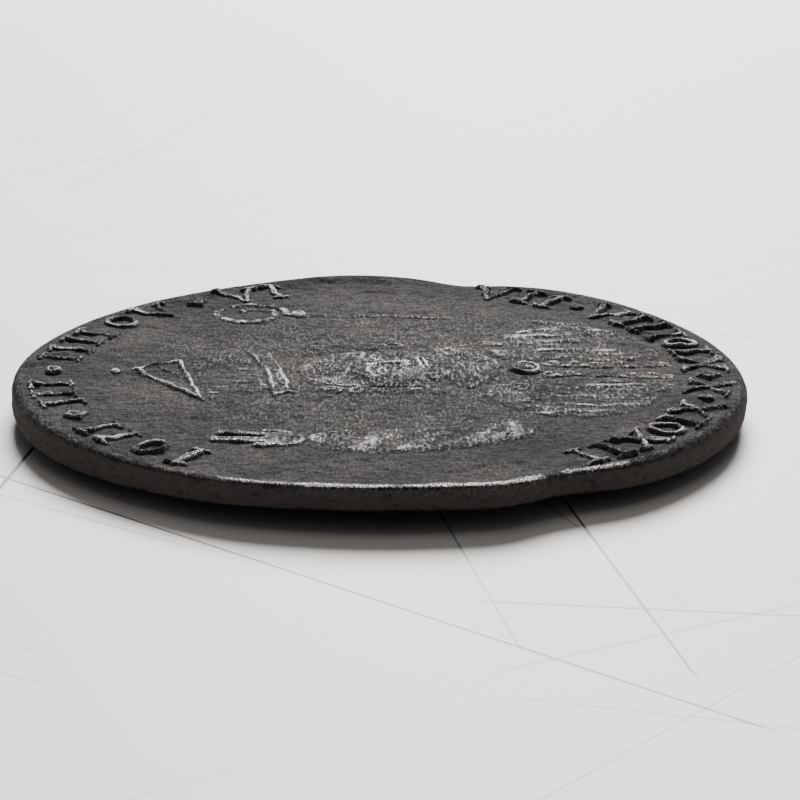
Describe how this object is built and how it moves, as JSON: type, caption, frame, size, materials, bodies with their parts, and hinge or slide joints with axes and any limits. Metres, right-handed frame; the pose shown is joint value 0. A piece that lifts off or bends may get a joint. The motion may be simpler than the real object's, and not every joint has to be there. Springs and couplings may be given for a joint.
{
  "type": "cast medal",
  "caption": "Round hand-cast dark lead medal with a worn relief bust of a mitred bishop, a numeral border and an uneven rim.",
  "frame": {"origin": "middle of the medal's outline on the surface it lies on, obverse up", "axes": "+Z out of the obverse, +Y towards the top of the design, +X towards the right of the design"},
  "size_m": [0.0418, 0.0408, 0.0028],
  "materials": {
    "flan_lead": "dark rough-cast lead alloy with a patina",
    "legend_lead": "dark cast lead alloy, tops rubbed brighter",
    "relief_lead": "dark cast lead alloy, high points rubbed brighter",
    "worn_lead": "rubbed, bright lead alloy",
    "reverse_lead": "dark rough-cast lead alloy with a patina"
  },
  "bodies": {
    "root": {"blessing_hand": "relief_lead", "casting_nub": "flan_lead", "collar": "relief_lead", "cope_folds_left": "relief_lead", "cope_folds_right": "relief_lead", "cope_left": "relief_lead", "cope_right": "relief_lead", "crozier_crook": "relief_lead", "crozier_knop": "relief_lead", "crozier_staff": "relief_lead", "edge_seam": "flan_lead", "face": "relief_lead", "flan": "flan_lead", "hair_left": "relief_lead", "hair_right": "relief_lead", "head": "relief_lead", "legend_lozenges": "legend_lead", "legend_pellets": "legend_lead", "legend_rings": "legend_lead", "mitre_band": "relief_lead", "mitre_body": "relief_lead", "mitre_finial": "relief_lead", "mitre_peak": "relief_lead", "morse": "relief_lead", "numeral_i": "legend_lead", "numeral_ii": "legend_lead", "numeral_iii": "legend_lead", "numeral_iiii": "legend_lead", "numeral_ix": "legend_lead", "numeral_v": "legend_lead", "numeral_vi": "legend_lead", "numeral_vii": "legend_lead", "numeral_viii": "legend_lead", "numeral_x": "legend_lead", "numeral_xi": "legend_lead", "numeral_xii": "legend_lead", "obverse_lip": "worn_lead", "orphrey_left": "relief_lead", "orphrey_right": "relief_lead", "reverse_border": "reverse_lead", "reverse_cross": "reverse_lead", "reverse_pellets": "reverse_lead", "sleeve": "relief_lead"}
  },
  "joints": []
}
